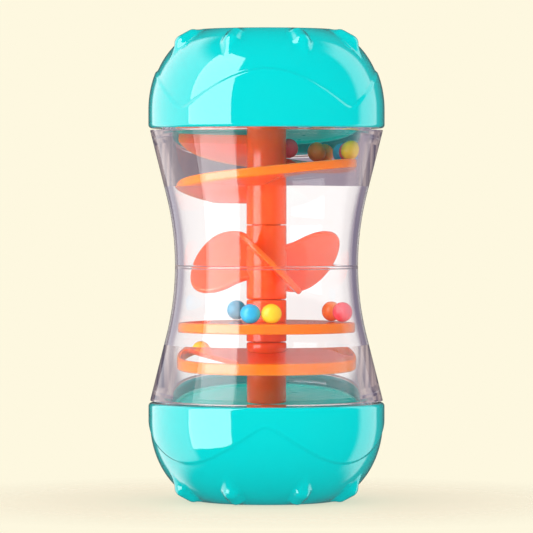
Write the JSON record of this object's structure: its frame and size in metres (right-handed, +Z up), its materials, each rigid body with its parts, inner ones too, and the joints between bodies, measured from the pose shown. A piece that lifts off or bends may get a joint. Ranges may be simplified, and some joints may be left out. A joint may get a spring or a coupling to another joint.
{
  "type": "rainstick toy",
  "caption": "Baby rainstick: clear hourglass chamber between domed teal caps, with loose beads, a spiral ramp, a bladed spinner and sieve discs on a centre tube.",
  "frame": {"origin": "centre of the bottom cap's end face", "axes": "+Z up along the toy's long axis, through both caps; the middle of one spinner blade faces -Y"},
  "size_m": [0.0944, 0.0944, 0.1884],
  "materials": {
    "teal_plastic": "glossy moulded",
    "clear_plastic": "clear polished",
    "orange_plastic": "glossy moulded",
    "bead_yellow": "glossy",
    "bead_blue": "glossy",
    "bead_red": "glossy",
    "bead_orange": "glossy"
  },
  "bodies": {
    "body": {"top_cap": "teal_plastic", "bottom_cap": "teal_plastic", "upper_shell": "clear_plastic", "lower_shell": "clear_plastic", "top_end_plate": "teal_plastic", "bottom_end_plate": "teal_plastic", "centre_tube": "orange_plastic", "spiral_ramp": "orange_plastic", "spinner_spacer": "orange_plastic", "upper_sieve_disc": "orange_plastic", "upper_disc_collar": "orange_plastic", "lower_disc_collar": "orange_plastic", "lower_sieve_disc": "orange_plastic", "bottom_sleeve": "orange_plastic"},
    "spinner": {"spinner": "orange_plastic"},
    "bead_yellow_3": {"bead_yellow_3": "bead_yellow"},
    "bead_red_2": {"bead_red_2": "bead_red"},
    "bead_blue_3": {"bead_blue_3": "bead_blue"},
    "bead_orange_2": {"bead_orange_2": "bead_orange"},
    "bead_orange_3": {"bead_orange_3": "bead_orange"},
    "bead_red_3": {"bead_red_3": "bead_red"},
    "bead_blue_1": {"bead_blue_1": "bead_blue"},
    "bead_yellow_1": {"bead_yellow_1": "bead_yellow"},
    "bead_red_1": {"bead_red_1": "bead_red"},
    "bead_orange_1": {"bead_orange_1": "bead_orange"},
    "bead_blue_2": {"bead_blue_2": "bead_blue"},
    "bead_yellow_2": {"bead_yellow_2": "bead_yellow"}
  },
  "joints": [
    {"name": "spinner_spin", "type": "hinge", "parent": "body", "child": "spinner", "pos_m": [0, 0, 0.0955], "axis": [0, 0, 1], "continuous": true},
    {"name": "bead_yellow_3_roll", "type": "hinge", "parent": "body", "child": "bead_yellow_3", "pos_m": [0, 0, 0.14241], "axis": [0.0581, 0.0947, -0.9938], "range_deg": [0, 50]},
    {"name": "bead_red_2_roll", "type": "hinge", "parent": "body", "child": "bead_red_2", "pos_m": [0, 0, 0.14332], "axis": [0.0334, 0.106, -0.9938], "range_deg": [0, 50]},
    {"name": "bead_blue_3_roll", "type": "hinge", "parent": "body", "child": "bead_blue_3", "pos_m": [0, 0, 0.14422], "axis": [0.0068, 0.1109, -0.9938], "range_deg": [0, 50]},
    {"name": "bead_orange_2_roll", "type": "hinge", "parent": "body", "child": "bead_orange_2", "pos_m": [0, 0, 0.1456], "axis": [-0.0343, 0.1057, -0.9938], "range_deg": [0, 50]},
    {"name": "bead_orange_3_roll", "type": "hinge", "parent": "body", "child": "bead_orange_3", "pos_m": [0, 0, 0.14498], "axis": [-0.021, 0.1493, -0.9886], "range_deg": [0, 50]},
    {"name": "bead_red_3_roll", "type": "hinge", "parent": "body", "child": "bead_red_3", "pos_m": [0, 0, 0.14581], "axis": [-0.0943, 0.2738, -0.9572], "range_deg": [0, 50]},
    {"name": "bead_blue_1_roll", "type": "hinge", "parent": "body", "child": "bead_blue_1", "pos_m": [0, 0, 0.07552], "axis": [0, 0, 1], "range_deg": [-25, 0]},
    {"name": "bead_yellow_1_roll", "type": "hinge", "parent": "body", "child": "bead_yellow_1", "pos_m": [0, 0, 0.07552], "axis": [0, 0, 1], "range_deg": [0, 55]},
    {"name": "bead_red_1_roll", "type": "hinge", "parent": "body", "child": "bead_red_1", "pos_m": [0, 0, 0.07552], "axis": [0, 0, 1], "range_deg": [-10, 0]},
    {"name": "bead_orange_1_roll", "type": "hinge", "parent": "body", "child": "bead_orange_1", "pos_m": [0, 0, 0.07552], "axis": [0, 0, 1], "range_deg": [0, 60]},
    {"name": "bead_blue_2_roll", "type": "hinge", "parent": "body", "child": "bead_blue_2", "pos_m": [0, 0, 0.07552], "axis": [0, 0, 1], "range_deg": [-10, 15]},
    {"name": "bead_yellow_2_roll", "type": "hinge", "parent": "body", "child": "bead_yellow_2", "pos_m": [0, 0, 0.05942], "axis": [0, 0, 1], "range_deg": [-75, 8]}
  ],
  "couplings": [
    {"joint": "bead_red_2_roll", "follows": "bead_yellow_3_roll", "ratio": 1},
    {"joint": "bead_blue_3_roll", "follows": "bead_yellow_3_roll", "ratio": 1},
    {"joint": "bead_orange_2_roll", "follows": "bead_yellow_3_roll", "ratio": 1},
    {"joint": "bead_orange_3_roll", "follows": "bead_yellow_3_roll", "ratio": 1}
  ]
}
